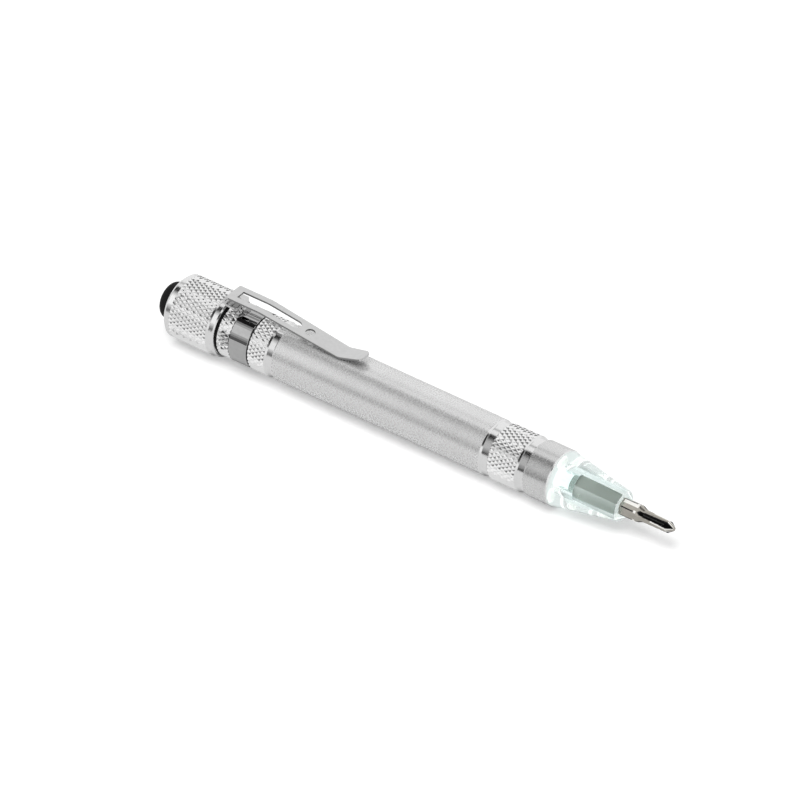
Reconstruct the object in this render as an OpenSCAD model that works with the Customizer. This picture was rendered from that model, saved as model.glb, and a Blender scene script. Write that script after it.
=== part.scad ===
// Penlight screwdriver pen: a pocket torch on two AAA cells, with a 4 mm hex bit held in its clear lit nose.
// It lies along X with the bit towards +X and the clip up, on the plane z = 0, at real size in millimetres.

/* [Cells] */
// Diameter of one cell
cell_d = 10.5; // [9.5:0.1:11.5]
// Length of one cell over its positive nub
cell_len = 44.5; // [40:0.5:50]
// Diameter of the positive nub
nub_d = 3.8; // [2.5:0.1:5]
// Height of the positive nub
nub_h = 0.8; // [0.5:0.1:1.5]
// Radial room between a cell and the barrel's bore
cell_gap = 0.25; // [0.1:0.05:0.5]

/* [Barrel] */
// Wall of the barrel round its bore
barrel_wall = 1.5; // [1.3:0.1:2.5]
// Depth of the polished grooves, with edges at 45 degrees
groove_depth = 0.3; // [0.15:0.05:0.4]
// Length of the groove behind the head ring
front_groove_len = 2.1; // [1.2:0.1:4]
// Length of the knurled grip at the front
front_knurl_len = 7.8; // [4:0.1:14]
// Length of the groove behind the front grip
mid_groove_len = 2.45; // [1.2:0.05:4]
// Length of the groove behind the plain barrel
rear_groove_len = 2.2; // [1.2:0.1:4]
// Length of the knurled shoulder ahead of the clip band
front_shoulder_len = 4.9; // [2:0.1:8]
// Length of the knurled shoulder behind the clip band
rear_shoulder_len = 3.6; // [2:0.1:6]
// Chamfer on the rear edge of the rear shoulder
shoulder_edge = 0.3; // [0.1:0.05:0.4]

/* [Tail thread and seal] */
// Wall of the threaded spigot round the bore
spigot_wall = 0.8; // [0.7:0.05:1]
// Length of thread inside the tail cap
thread_len = 4.8; // [3:0.1:8]
// Pitch of the thread
thread_pitch = 0.75; // [0.5:0.05:1]
// Depth of the thread
thread_depth = 0.3; // [0.15:0.05:0.4]
// Radial room between the thread and what runs over it
thread_gap = 0.1; // [0.05:0.01:0.15]
// Thickness of the O-ring
o_ring_wire = 1; // [0.8:0.05:1.2]
// Depth of the O-ring's seat below the thread's crest
o_ring_seat = 0.45; // [0.3:0.05:0.5]
// Open gap between the tail cap and the barrel's rear shoulder
cap_gap = 0.4; // [0.2:0.1:0.8]

/* [Tail cap] */
// Wall of the cap round the thread
cap_wall = 1.6; // [1.4:0.1:3]
// Wall at the rear of the cap
cap_rear_wall = 1.3; // [1:0.1:3]
// Polished band at the front of the cap
cap_front_land = 1.5; // [0.8:0.1:3]
// Step down from the knurl to the front band
cap_step = 0.3; // [0.1:0.05:0.5]
// Plain band at the rear of the cap
cap_rear_land = 2.05; // [1.2:0.05:4]
// How far the cap's knurl stands above its rear band
knurl_rise = 0.1; // [0.05:0.05:0.3]
// Chamfer at the rear edge of the cap
cap_edge = 0.8; // [0.3:0.1:1.1]

/* [Push button] */
// Diameter of the button
button_d = 9.4; // [6:0.1:9.8]
// Height of the button behind the cap
button_rise = 4.5; // [3:0.1:6]
// Round on the button's edge
button_edge = 1.8; // [0.8:0.1:2]
// Crown of the button's end
button_crown = 0.35; // [0.1:0.05:0.6]
// Width of the flange that keeps the button in the cap
flange_w = 1; // [0.6:0.1:1.2]
// Thickness of that flange
flange_t = 1; // [0.6:0.1:2]
// Travel of the button
button_travel = 1; // [0.5:0.1:1.4]
// Room round and ahead of the button
button_gap = 0.1; // [0.05:0.01:0.2]

/* [Switch] */
// Length of the switch housing
switch_len = 4.9; // [4.4:0.1:8]
// Wall at each end of the switch housing
switch_wall = 0.6; // [0.4:0.05:0.8]
// Radius of the housing's cavity
cavity_r = 2.6; // [2.4:0.1:4]
// Radius of the plunger's rod
plunger_r = 1.5; // [1:0.1:1.8]
// Thickness of the plunger's collar
plunger_collar_t = 0.6; // [0.4:0.05:0.8]
// Length of the plunger's spring guide
plunger_stem_len = 0.9; // [0.4:0.1:1]
// Wire of the switch spring
switch_wire = 0.3; // [0.2:0.05:0.35]
// Turns of the switch spring
switch_turns = 3; // [2:1:4]
// Thickness of the brass switch plate
plate_t = 0.4; // [0.2:0.05:0.8]
// Length of the ring that holds the switch in the cap
retainer_len = 1.2; // [0.8:0.1:2]
// Wall of that ring
retainer_wall = 1.4; // [1:0.1:1.6]
// Width of the two spanner notches in that ring
notch_w = 1.2; // [0.6:0.1:2]
// Room between that ring and the end of the thread
retainer_gap = 0.2; // [0.1:0.05:0.5]

/* [Battery spring] */
// Length of the spring in use, from the plate to the cell
spring_len = 6.3; // [5.5:0.1:9]
// Wire of the spring
spring_wire = 0.6; // [0.4:0.05:0.7]
// Turns of the spring
spring_turns = 4; // [3:1:6]
// Radius of the spring's end on the cell
spring_front_r = 2.8; // [2:0.1:3.5]
// Room between the spring and the pieces round it
spring_gap = 0.1; // [0.05:0.01:0.2]

/* [Head] */
// Length of the head ring
head_len = 6.7; // [5.5:0.1:10]
// Wall of the head ring round the nose's plug
head_wall = 0.85; // [0.6:0.05:1]
// Chamfer at the front of the head ring
head_edge = 0.2; // [0.1:0.05:0.4]
// Wall of the spigot that goes into the barrel
head_spigot_wall = 0.55; // [0.4:0.05:0.6]
// Length of that spigot
head_spigot_len = 5; // [3:0.5:7]
// Inward width of the lip that the light board sits on
lip_w = 1.2; // [0.8:0.1:1.5]
// Thickness of that lip
lip_t = 0.9; // [0.6:0.1:1.1]

/* [Nose] */
// Length of the clear nose from the bit's end back to the head ring
nose_back_len = 5; // [4:0.1:7]
// Step from the head ring in to the nose
nose_step = 0.15; // [0.05:0.05:0.4]
// Radius of the nose at its front
nose_front_r = 3.8; // [3.4:0.1:4.5]
// Chamfer at the front of the nose
nose_edge = 0.35; // [0.1:0.05:0.6]
// Length of the plug inside the head ring
plug_len = 4; // [3.5:0.1:4.5]
// Wall of that plug round the light carrier
plug_wall = 0.5; // [0.4:0.05:0.7]
// Room between the plug and the head ring
plug_gap = 0.05; // [0.02:0.01:0.1]

/* [Light] */
// Thickness of the light board
board_t = 1.1; // [0.8:0.1:1.6]
// Height of the brass contact behind the board
contact_h = 1.8; // [1.6:0.1:3]
// Radius of that contact
contact_r = 2.2; // [1.5:0.1:3]
// How far the white light carrier stays behind the nose's base
carrier_back = 0.5; // [0.2:0.1:1]
// Number of light emitting diodes
led_count = 3; // [2:1:3]
// Radius of a diode's lens
led_r = 1.45; // [1.2:0.05:1.5]
// Rim of a diode at its base
led_rim = 0.1; // [0.05:0.05:0.1]
// Height of that rim
led_rim_h = 0.8; // [0.5:0.1:1]
// Length of a diode
led_len = 4.7; // [4:0.1:4.8]
// Distance between a diode's two leads
lead_pitch = 2; // [1.6:0.1:2.2]
// Radius of a lead
lead_r = 0.25; // [0.2:0.05:0.3]
// Length of a lead left behind the board
lead_tail = 0.6; // [0.4:0.1:0.8]
// Room round the diodes, leads, board and magnet cup
light_gap = 0.05; // [0.03:0.01:0.1]

/* [Bit] */
// Width across the bit's flats
bit_af = 4; // [3.5:0.1:4.2]
// Length of the bit
bit_len = 26.2; // [24:0.1:28]
// How far the bit stands out of the nose
bit_reach = 14.1; // [13:0.1:15]
// Hex shank that shows ahead of the nose
shank_out = 3.2; // [2.5:0.1:6]
// Taper from the shank to the round blade
neck_len = 2.6; // [0.8:0.1:4]
// Radius of the blade
blade_r = 1.58; // [1.2:0.01:1.8]
// Length of the point
point_len = 1.6; // [1:0.1:2.5]
// Radius of the point's blunt end
point_r = 0.45; // [0.35:0.05:0.6]
// Distance of a flute's bottom from the axis, at the point
flute_core = 0.45; // [0.35:0.01:0.5]
// Length of a flute, from the point to where it runs out
flute_len = 9.6; // [5:0.1:11]
// Turn of the hex shank about the axis, in degrees
bit_roll = 52; // [0:1:60]
// Room between the bit and its socket, on each flat
socket_gap = 0.07; // [0.04:0.01:0.15]
// Room between the bit's end and the magnet
seat_gap = 0.05; // [0.02:0.01:0.2]
// Radius of the magnet's steel cup
cup_r = 2.15; // [1.8:0.05:2.2]
// Wall of that cup round the magnet
cup_wall = 0.5; // [0.3:0.05:0.8]
// Length of that cup
cup_len = 1.5; // [1.1:0.1:2.5]
// Steel behind the magnet in that cup
cup_floor = 0.4; // [0.3:0.05:0.6]
// Radius of the carrier's boss behind the cup
boss_r = 1.8; // [1.6:0.05:1.85]
// Radius of the cup's post in that boss
post_r = 1.2; // [0.8:0.1:1.3]
// Length of that post
post_len = 2; // [1:0.1:3]

/* [Clip] */
// Thickness of the clip's sheet
sheet_t = 0.5; // [0.3:0.05:0.6]
// Width of the band round the barrel
band_w = 5.25; // [4.5:0.05:8]
// Room between the band and its groove, round the barrel
band_gap = 0.05; // [0.03:0.01:0.1]
// How far the band lies below the shoulders' surface
band_sink = 0.05; // [0:0.01:0.15]
// Room behind the band in its groove
band_rear_gap = 0.1; // [0.05:0.05:0.3]
// Room ahead of the band in its groove
band_front_gap = 0.45; // [0.1:0.05:1]
// Open split of the band under the barrel
band_split = 1.5; // [0.5:0.1:3]
// Width of the neck where it rises from the band
clip_neck_w = 2.6; // [2:0.1:4]
// Where the neck rises, ahead of the band's rear edge
neck_start = 0.35; // [0.3:0.05:1]
// Radius of the neck's bend, along the middle of the sheet
neck_bend_r = 0.6; // [0.4:0.05:0.8]
// Length over which the neck widens to the arm
neck_taper = 1.2; // [0.8:0.1:1.8]
// Outer radius of the bend at the arm's rear
bend_r = 1.35; // [1.2:0.05:1.4]
// How far the bend reaches back over the cap
bend_over = 0.4; // [0:0.1:0.8]
// Height of the arm's top above the barrel
arm_h = 3.65; // [3.5:0.05:5]
// Length of the arm's level part
arm_flat_len = 10.6; // [6:0.1:14]
// Length of the arm's falling part
arm_fall_len = 22.8; // [16:0.1:30]
// Length of the turned-up tip
tip_len = 6.4; // [3:0.1:9]
// Rise of the turned-up tip
tip_rise = 1.8; // [1:0.1:3]
// Width of the arm at its rear
arm_rear_w = 5.6; // [5:0.1:7]
// Width of the arm where it meets the barrel
arm_bend_w = 4.7; // [4:0.1:7]
// Width of the turned-up tip
tip_w = 4.2; // [3:0.1:6]
// Room between the arm and the barrel
arm_gap = 0.1; // [0.05:0.05:0.4]
// Cut between the neck's bend and the arm, along the bend, in degrees
bend_cut = 14; // [12:1:20]
// Distance from the arm's rear to its slot
slot_start = 2.95; // [2:0.05:5]
// Width of that slot
slot_w = 2.6; // [1.5:0.1:3]
// Length of the slot
slot_len = 17.8; // [8:0.1:22]
// Diameter of the small hole ahead of the slot
hole_d = 2.4; // [1:0.1:3]
// Distance from the slot's front end to the hole's middle
hole_ahead = 2.8; // [2:0.1:4]

/* [Hidden] */
$fn = 96;
// A cutter's overlap past the face it opens
over = 1;

// Radii, from the cells outwards
cell_r = cell_d / 2;
bore_r = cell_r + cell_gap;
barrel_r = bore_r + barrel_wall;
groove_r = barrel_r - groove_depth;
spigot_r = bore_r + spigot_wall;
cap_bore_r = spigot_r + thread_gap;
cap_r = cap_bore_r + cap_wall;
cap_land_r = cap_r - cap_step;
o_seat_r = spigot_r - o_ring_seat;
o_ring_mid_r = o_seat_r + o_ring_wire / 2;
recess_r = o_seat_r + o_ring_wire + thread_gap;
switch_r = cap_bore_r - thread_gap;
button_r = button_d / 2;
button_hole_r = button_r + button_gap;
head_spigot_r = bore_r + head_spigot_wall;
socket_bore_r = head_spigot_r + plug_gap;
head_bore_r = barrel_r - head_wall;
plug_r = head_bore_r - plug_gap;
chamber_r = plug_r - plug_wall;
lip_r = head_bore_r - lip_w;
nose_base_r = barrel_r - nose_step;
board_r = head_bore_r - light_gap;
carrier_r = chamber_r - light_gap;
led_ring_r = (carrier_r + cup_r) / 2;
band_r = barrel_r - band_sink;
band_inner_r = band_r - sheet_t;
clip_groove_r = band_inner_r - band_gap;
hex_r = bit_af / 2 / cos(30);
socket_hex_r = (bit_af / 2 + socket_gap) / cos(30);

// Length of the nose ahead of the head ring, which follows the part of the bit that it holds
nose_len = bit_len - bit_reach + nose_back_len;

// Stations along the axis, from the nose's front face at 0 back to the button
x_nose_base = -nose_len;
x_head_rear = x_nose_base - head_len;
x_knurl_front = x_head_rear - front_groove_len;
x_knurl_rear = x_knurl_front - front_knurl_len;
x_plain_front = x_knurl_rear - mid_groove_len;
x_board_front = x_nose_base - plug_len;
x_board_rear = x_board_front - board_t;
x_contact_rear = x_board_rear - contact_h;
x_cell_joint = x_contact_rear - cell_len;
x_cell_base = x_cell_joint - cell_len;
x_plate_front = x_cell_base - spring_len;
x_plate_rear = x_plate_front - plate_t;
x_retainer_front = x_plate_front + retainer_len;
x_spigot_rear = x_retainer_front + retainer_gap;
x_cap_front = x_spigot_rear + thread_len;
x_shoulder_rear = x_cap_front + cap_gap;
x_clip_rear = x_shoulder_rear + rear_shoulder_len;
x_band_rear = x_clip_rear + band_rear_gap;
x_band_front = x_band_rear + band_w;
x_clip_front = x_band_front + band_front_gap;
x_groove_rear = x_clip_front + front_shoulder_len;
x_plain_rear = x_groove_rear + rear_groove_len;
x_switch_rear = x_plate_rear - switch_len;
x_flange_front = x_switch_rear - button_travel - button_gap;
x_flange_rear = x_flange_front - flange_t;
x_cap_rear = x_flange_rear - cap_rear_wall;
x_button_rear = x_cap_rear - button_rise;
x_carrier_front = x_nose_base - carrier_back;
x_chamber_front = x_carrier_front + light_gap;
x_bit_rear = bit_reach - bit_len;
x_cup_front = x_bit_rear - seat_gap;
x_cup_rear = x_cup_front - cup_len;
x_cavity_front = x_plate_rear - switch_wall;
x_cavity_rear = x_switch_rear + switch_wall;
x_collar_rear = x_cavity_rear + button_gap;
x_collar_front = x_collar_rear + plunger_collar_t;

// Place of the pen: the middle of its length at x = 0, its cap on z = 0
place = [-(x_button_rear + bit_reach) / 2, 0, cap_r];

// Points along a round arc in a plane, from one angle to another
function arc(centre, r, a0, a1, steps = 8) =
    [for (i = [0:steps]) let (a = a0 + (a1 - a0) * i / steps) centre + r * [cos(a), sin(a)]];

function unit(v) = v / norm(v);
function left_of(v) = [-v[1], v[0]];

// Sideways step at point i of a path, so that a sheet keeps its thickness round a corner
function mitre(path, i) =
    let (
        last = len(path) - 1,
        n0 = left_of(unit(path[max(i, 1)] - path[max(i, 1) - 1])),
        n1 = left_of(unit(path[min(i, last - 1) + 1] - path[min(i, last - 1)]))
    )
    (n0 + n1) / (1 + n0 * n1);

// Outline of a sheet of thickness t whose middle follows a path
function sheet(path, t) =
    let (last = len(path) - 1)
    concat(
        [for (i = [0:last]) path[i] + mitre(path, i) * t / 2],
        [for (i = [last:-1:0]) path[i] - mitre(path, i) * t / 2]
    );

// Points of a coil's middle line as [station, y, z], with closed turns at both ends
coil_steps = 16;
coil_sides = 6;
function coil_share(t, turns) = min(1, max(0, (t * turns - 1) / (turns - 2 + 1e-6)));
function coil_point(i, x0, x1, r0, r1, wire, turns) =
    let (
        t = i / (coil_steps * turns),
        step_in = wire * 1.05,
        share = coil_share(t, turns),
        low = x0 + step_in * min(1, t * turns),
        high = x1 - step_in * (1 - max(0, min(1, t * turns - turns + 1))),
        open = x0 + step_in + (x1 - x0 - 2 * step_in) * share,
        x = turns * t < 1 ? low : turns * t > turns - 1 ? high : open,
        r = r0 + (r1 - r0) * t,
        a = 360 * turns * t
    )
    [x, r * cos(a), r * sin(a)];

// A round wire wound along the axis from station x0, at radius r0, to station x1, at radius r1
module coil(x0, x1, r0, r1, wire, turns) {
    count = coil_steps * turns;
    ring = [for (j = [0:coil_sides - 1]) let (b = 360 * j / coil_sides) wire / 2 * [cos(b), sin(b)]];
    points = [
        for (i = [0:count])
            let (p = coil_point(i, x0, x1, r0, r1, wire, turns), out = unit([0, p[1], p[2]]))
            for (q = ring) p + q[0] * out + [q[1], 0, 0]
    ];
    sides = [
        for (i = [0:count - 1])
            for (j = [0:coil_sides - 1])
                let (k = (j + 1) % coil_sides, a = i * coil_sides, b = a + coil_sides)
                for (f = [[a + j, a + k, b + k], [a + j, b + k, b + j]]) f
    ];
    first_end = [for (j = [1:coil_sides - 2]) [0, j + 1, j]];
    base = count * coil_sides;
    last_end = [for (j = [1:coil_sides - 2]) [base, base + j, base + j + 1]];
    polyhedron(points, concat(sides, first_end, last_end));
}

// Least gap of a coil to itself, measured between points a turn or so apart
function coil_gap(x0, x1, r0, r1, wire, turns) =
    min([
        for (i = [0:coil_steps * (turns - 1)])
            norm(coil_point(i, x0, x1, r0, r1, wire, turns)
                - coil_point(i + coil_steps, x0, x1, r0, r1, wire, turns))
    ]) - wire;

// Turns a closed outline of [radius, station] points round the pen's axis
module turned(outline) {
    rotate([0, 90, 0]) rotate_extrude() polygon(outline);
}

// A round bar along the axis between two stations
module bar(x0, x1, r) {
    translate([min(x0, x1), 0, 0]) rotate([0, 90, 0]) cylinder(h = abs(x1 - x0), r = r);
}

// A hexagonal bar along the axis, its corners at radius r
module hex_bar(x0, x1, r) {
    translate([x0, 0, 0]) rotate([0, 90, 0]) rotate([0, 0, bit_roll])
        linear_extrude(height = x1 - x0) circle(r = r, $fn = 6);
}

// Puts a piece drawn about the axis in its place on the plane z = 0
module placed() {
    translate(place) children();
}

// Barrel: one turned tube with its grips, grooves, clip seat and rear thread
thread_front = x_shoulder_rear - o_ring_wire - 2 * thread_gap;
thread_turns = floor((thread_front - x_spigot_rear) / thread_pitch - 0.5);
thread_outline = [
    for (i = [0:thread_turns - 1])
        let (x = thread_front - i * thread_pitch)
        for (p = [[spigot_r, x], [spigot_r - thread_depth, x - thread_pitch / 2]]) p
];
barrel_outline = concat(
    [
        [socket_bore_r, x_head_rear],
        [groove_r, x_head_rear],
        [groove_r, x_knurl_front + groove_depth],
        [barrel_r, x_knurl_front],
        [barrel_r, x_knurl_rear],
        [groove_r, x_knurl_rear - groove_depth],
        [groove_r, x_plain_front + groove_depth],
        [barrel_r, x_plain_front],
        [barrel_r, x_plain_rear],
        [groove_r, x_plain_rear - groove_depth],
        [groove_r, x_groove_rear + groove_depth],
        [barrel_r, x_groove_rear],
        [barrel_r, x_clip_front],
        [clip_groove_r, x_clip_front],
        [clip_groove_r, x_clip_rear],
        [barrel_r, x_clip_rear],
        [barrel_r, x_shoulder_rear + shoulder_edge],
        [barrel_r - shoulder_edge, x_shoulder_rear],
        [o_seat_r, x_shoulder_rear],
        [o_seat_r, thread_front]
    ],
    thread_outline,
    [
        [spigot_r, thread_front - thread_turns * thread_pitch],
        [spigot_r - thread_depth, x_spigot_rear],
        [bore_r, x_spigot_rear],
        [bore_r, x_head_rear - head_spigot_len - plug_gap],
        [socket_bore_r, x_head_rear - head_spigot_len - plug_gap]
    ]
);
module barrel() {
    color("Silver") placed() turned(barrel_outline);
}

// One cell, its nub towards the nose, with its front at station x
shoulder_round = 0.4;
module cell(x) {
    turned([
        [0, x],
        [nub_d / 2, x],
        [nub_d / 2, x - nub_h],
        [cell_r - shoulder_round, x - nub_h],
        [cell_r, x - nub_h - shoulder_round],
        [cell_r, x - cell_len + shoulder_round],
        [cell_r - shoulder_round, x - cell_len],
        [0, x - cell_len]
    ]);
}
module front_cell() {
    color("DimGray") placed() cell(x_contact_rear);
}
module rear_cell() {
    color("DimGray") placed() cell(x_cell_joint);
}

// Black O-ring that seals the tail cap and shows in the gap ahead of it
module cap_o_ring() {
    color("Black") placed()
        translate([x_shoulder_rear - thread_gap - o_ring_wire / 2, 0, 0]) rotate([0, 90, 0])
            rotate_extrude() translate([o_ring_mid_r, 0]) circle(d = o_ring_wire);
}

// Conical spring between the switch plate and the rear cell
spring_rear_r = cap_bore_r - retainer_wall - thread_gap - spring_gap - spring_wire / 2;
spring_x0 = x_plate_front + spring_gap + spring_wire / 2;
spring_x1 = x_cell_base - spring_gap - spring_wire / 2;
echo(
    battery_spring_gap =
        coil_gap(spring_x0, spring_x1, spring_rear_r, spring_front_r, spring_wire, spring_turns)
);
module battery_spring() {
    color("LightSteelBlue") placed()
        coil(spring_x0, spring_x1, spring_rear_r, spring_front_r, spring_wire, spring_turns);
}

// Tail cap: a knurled sleeve with a rear wall that the button stands through
x_recess_rear = x_shoulder_rear - o_ring_wire - 3 * thread_gap;
module tail_cap() {
    color("Silver") placed() turned([
        [recess_r, x_cap_front],
        [cap_land_r - cap_step, x_cap_front],
        [cap_land_r, x_cap_front - cap_step],
        [cap_land_r, x_cap_front - cap_front_land],
        [cap_r, x_cap_front - cap_front_land - cap_step],
        [cap_r, x_cap_rear + cap_rear_land],
        [cap_r - knurl_rise, x_cap_rear + cap_rear_land],
        [cap_r - knurl_rise, x_cap_rear + cap_edge],
        [cap_r - knurl_rise - cap_edge, x_cap_rear],
        [button_hole_r, x_cap_rear],
        [button_hole_r, x_flange_rear],
        [cap_bore_r, x_flange_rear],
        [cap_bore_r, x_recess_rear],
        [recess_r, x_recess_rear]
    ]);
}

// Brass ring that keeps the switch in the cap, with two notches for a spanner
retainer_r = switch_r - retainer_wall;
module switch_retainer() {
    color("Goldenrod") placed() difference() {
        turned([
            [retainer_r, x_plate_front],
            [switch_r, x_plate_front],
            [switch_r, x_retainer_front],
            [retainer_r, x_retainer_front]
        ]);
        translate([x_retainer_front, 0, 0])
            cube([retainer_len, 2 * (switch_r + over), notch_w], center = true);
    }
}

// Brass plate that the battery spring presses on
module switch_plate() {
    color("Gold") placed() bar(x_plate_rear, x_plate_front, switch_r);
}

// Housing of the push switch, closed at its front, with a hole for the plunger at its rear
module switch_housing() {
    color("DarkSlateGray") placed() turned([
        [0, x_plate_rear],
        [switch_r, x_plate_rear],
        [switch_r, x_switch_rear],
        [plunger_r + button_gap, x_switch_rear],
        [plunger_r + button_gap, x_cavity_rear],
        [cavity_r, x_cavity_rear],
        [cavity_r, x_cavity_front],
        [0, x_cavity_front]
    ]);
}

// Return spring of the switch, round the plunger's stem
switch_coil_r = cavity_r - spring_gap - switch_wire / 2;
plunger_collar_r = cavity_r - button_gap;
plunger_stem_r = switch_coil_r - switch_wire / 2 - spring_gap;
switch_x0 = x_collar_front + spring_gap + switch_wire / 2;
switch_x1 = x_cavity_front - spring_gap - switch_wire / 2;
module switch_spring() {
    color("LightSteelBlue") placed()
        coil(switch_x0, switch_x1, switch_coil_r, switch_coil_r, switch_wire, switch_turns);
}

// Plunger between the button and the switch
module switch_plunger() {
    color("White") placed() turned([
        [0, x_flange_front],
        [plunger_r, x_flange_front],
        [plunger_r, x_collar_rear],
        [plunger_collar_r, x_collar_rear],
        [plunger_collar_r, x_collar_front],
        [plunger_stem_r, x_collar_front],
        [plunger_stem_r, x_collar_front + plunger_stem_len],
        [0, x_collar_front + plunger_stem_len]
    ]);
}

// Soft black button with a flange that stays inside the cap
button_flat_r = button_r - button_edge;
button_round = arc([button_flat_r, x_button_rear + button_crown + button_edge], button_edge, 0, -90);
module push_button() {
    color("Black") placed() turned(concat(
        [
            [0, x_flange_front],
            [button_r + flange_w, x_flange_front],
            [button_r + flange_w, x_flange_rear],
            [button_r, x_flange_rear]
        ],
        button_round,
        [[0, x_button_rear]]
    ));
}

// Side view of the clip, as the middle line of its sheet, in [station, height above the axis]
mid_bend_r = bend_r - sheet_t / 2;
arm_top = barrel_r + arm_h;
bend_mid = [x_cap_front - bend_over + bend_r, arm_top - bend_r];
neck_x = x_band_rear + neck_start;
neck_z = bend_mid[1] - mid_bend_r;
neck_path = concat(
    [[neck_x, band_r - sheet_t / 2]],
    arc([neck_x - neck_bend_r, neck_z - neck_bend_r], neck_bend_r, 0, 90),
    arc(bend_mid, mid_bend_r, 270, 180 + bend_cut / 2)
);
touch_z = barrel_r + arm_gap + sheet_t / 2;
fall_start = bend_mid[0] - bend_r + arm_flat_len;
fall_end = fall_start + arm_fall_len;
arm_path = concat(
    arc(bend_mid, mid_bend_r, 180 - bend_cut / 2, 90),
    [
        [fall_start, bend_mid[1] + mid_bend_r],
        [fall_end, touch_z],
        [fall_end + tip_len, touch_z + tip_rise]
    ]
);

// Bends a side view into a sheet of a given width, square to the view
module folded(path, width) {
    rotate([90, 0, 0]) linear_extrude(height = width, center = true) polygon(sheet(path, sheet_t));
}

// Cuts a plan of the clip, drawn about the axis, through all of its height
module clip_cut() {
    linear_extrude(height = arm_top + over) children();
}

// The outline of a plan from its upper half, from rear to front
function whole_plan(half) = concat(half, [for (i = [len(half) - 1:-1:0]) [half[i][0], -half[i][1]]]);

// Split band that grips the barrel, with the neck that carries the arm
arm_rear = bend_mid[0] - bend_r;
neck_plan = whole_plan([
    [arm_rear - over, arm_rear_w / 2],
    [x_band_rear - neck_taper, arm_rear_w / 2],
    [x_band_rear, clip_neck_w / 2],
    [x_band_front, clip_neck_w / 2]
]);
module clip_band() {
    color("Gainsboro") placed() {
        difference() {
            turned([
                [band_inner_r, x_band_rear],
                [band_r, x_band_rear],
                [band_r, x_band_front],
                [band_inner_r, x_band_front]
            ]);
            translate([x_band_rear - over, -band_split / 2, -band_r - over])
                cube([band_w + 2 * over, band_split, sheet_t + 2 * over]);
        }
        intersection() {
            folded(neck_path, arm_rear_w + over);
            clip_cut() polygon(neck_plan);
        }
    }
}

// Arm of the clip, with its slot, small hole and turned-up tip
arm_front = fall_end + tip_len;
tip_round = tip_w / 3;
slot_rear = arm_rear + slot_start;
slot_front = slot_rear + slot_len - slot_w / 2;
hole_x = slot_front + slot_w / 2 + hole_ahead;
arm_side = [
    [arm_rear - over, arm_rear_w / 2],
    [fall_start, arm_rear_w / 2],
    [fall_end, arm_bend_w / 2]
];
arm_corner = arc([arm_front - tip_round, tip_w / 2 - tip_round], tip_round, 90, 0);
arm_plan = whole_plan(concat(arm_side, arm_corner));
module clip_arm() {
    color("Gainsboro") placed() difference() {
        intersection() {
            folded(arm_path, arm_rear_w + over);
            clip_cut() polygon(arm_plan);
        }
        clip_cut() {
            translate([slot_rear, -slot_w / 2]) square([slot_front - slot_rear, slot_w]);
            translate([slot_front, 0]) circle(d = slot_w);
            translate([hole_x, 0]) circle(d = hole_d);
        }
    }
}

// Head ring, which holds the nose and the light and goes into the barrel
module head_ring() {
    color("Silver") placed() turned([
        [head_bore_r, x_nose_base],
        [barrel_r - head_edge, x_nose_base],
        [barrel_r, x_nose_base - head_edge],
        [barrel_r, x_head_rear + groove_depth],
        [groove_r, x_head_rear],
        [head_spigot_r, x_head_rear],
        [head_spigot_r, x_head_rear - head_spigot_len],
        [bore_r, x_head_rear - head_spigot_len],
        [bore_r, x_board_rear - lip_t],
        [lip_r, x_board_rear - lip_t],
        [lip_r, x_board_rear],
        [head_bore_r, x_board_rear]
    ]);
}

// Clear nose: a solid cone with the bit's hex socket, pockets for the diodes and room for the carrier
module clear_nose() {
    color("PaleTurquoise", 0.5) placed() difference() {
        turned([
            [0, 0],
            [nose_front_r - nose_edge, 0],
            [nose_front_r, -nose_edge],
            [nose_base_r, x_nose_base],
            [plug_r, x_nose_base],
            [plug_r, x_board_front],
            [0, x_board_front]
        ]);
        bar(x_board_front - over, x_chamber_front, chamber_r);
        at_leds() bar(x_board_front - over, x_board_front + led_len + light_gap, led_r + light_gap);
        bar(x_board_front - over, x_bit_rear, cup_r + light_gap);
        hex_bar(x_bit_rear - over, over, socket_hex_r);
    }
}

// Places its children at each diode, with the diode's middle on the axis
module at_leds() {
    for (i = [0:led_count - 1]) rotate([360 * i / led_count, 0, 0]) translate([0, 0, led_ring_r]) children();
}

// Places its children at each lead of each diode
module at_leads() {
    at_leds() for (side = [-1, 1]) translate([0, side * lead_pitch / 2, 0]) children();
}

// White carrier that the diodes stand in, with a boss for the magnet's cup, which shows through the nose
module led_carrier() {
    color("White") placed() difference() {
        union() {
            bar(x_board_front, x_carrier_front, carrier_r);
            bar(x_carrier_front, x_cup_rear, boss_r);
        }
        at_leds() bar(x_board_front - over, x_carrier_front + over, led_r + led_rim + light_gap);
        bar(x_cup_rear - post_len - light_gap, x_cup_rear + over, post_r + light_gap);
    }
}

// Round light board, drilled for the leads
module led_board() {
    color("DarkGreen") placed() difference() {
        bar(x_board_rear, x_board_front, board_r);
        at_leads() bar(x_board_rear - over, x_board_front + over, lead_r + light_gap);
    }
}

// White diodes, each with a rim at its base and a domed lens
x_dome = x_board_front + led_len - led_r;
module leds() {
    color("Ivory") placed() at_leds() {
        bar(x_board_front, x_board_front + led_rim_h, led_r + led_rim);
        bar(x_board_front, x_dome, led_r);
        translate([x_dome, 0, 0]) sphere(r = led_r);
    }
}

// The diodes' leads, through the board
module led_leads() {
    color("LightGray") placed() at_leads() bar(x_board_rear - lead_tail, x_board_front, lead_r);
}

// Brass contact behind the board, which the front cell's nub presses on
module front_contact() {
    color("Gold") placed() bar(x_contact_rear, x_board_rear, contact_r);
}

// Steel cup for the magnet, with a post in the carrier's boss
magnet_r = cup_r - cup_wall;
x_magnet_rear = x_cup_rear + cup_floor;
module magnet_cup() {
    color("SlateGray") placed() difference() {
        union() {
            bar(x_cup_rear, x_cup_front, cup_r);
            bar(x_cup_rear - post_len, x_cup_rear, post_r);
        }
        bar(x_magnet_rear, x_cup_front + over, magnet_r);
    }
}

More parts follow.
